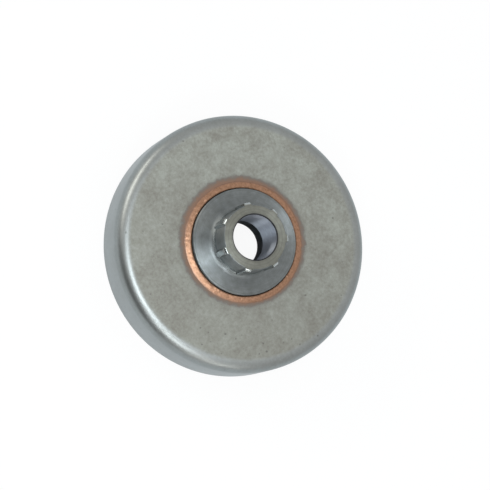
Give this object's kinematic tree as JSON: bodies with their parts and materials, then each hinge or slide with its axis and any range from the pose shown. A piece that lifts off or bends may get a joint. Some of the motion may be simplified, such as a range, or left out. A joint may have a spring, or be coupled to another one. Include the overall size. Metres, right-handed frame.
{
  "type": "chainsaw clutch drum",
  "caption": "Drawn steel cup with a splined, bored hub brazed to its closed face, for a centrifugal clutch that drives a rim sprocket.",
  "frame": {"origin": "centre of the open rim's plane, on the bore axis; the drum stands on its rim", "axes": "+Z along the bore axis towards the hub's nose; one rib of the spline points along -Y"},
  "size_m": [0.0816, 0.0816, 0.0291],
  "materials": {
    "cup_steel": "matt drawn and tumbled steel, faintly scratched",
    "hub_steel": "turned steel with concentric tool marks, ground bore",
    "braze_copper": "furnace brazed copper, grainy satin"
  },
  "bodies": {
    "root": {"drum_cup": "cup_steel", "hub": "hub_steel", "braze_ring": "braze_copper"}
  },
  "joints": []
}
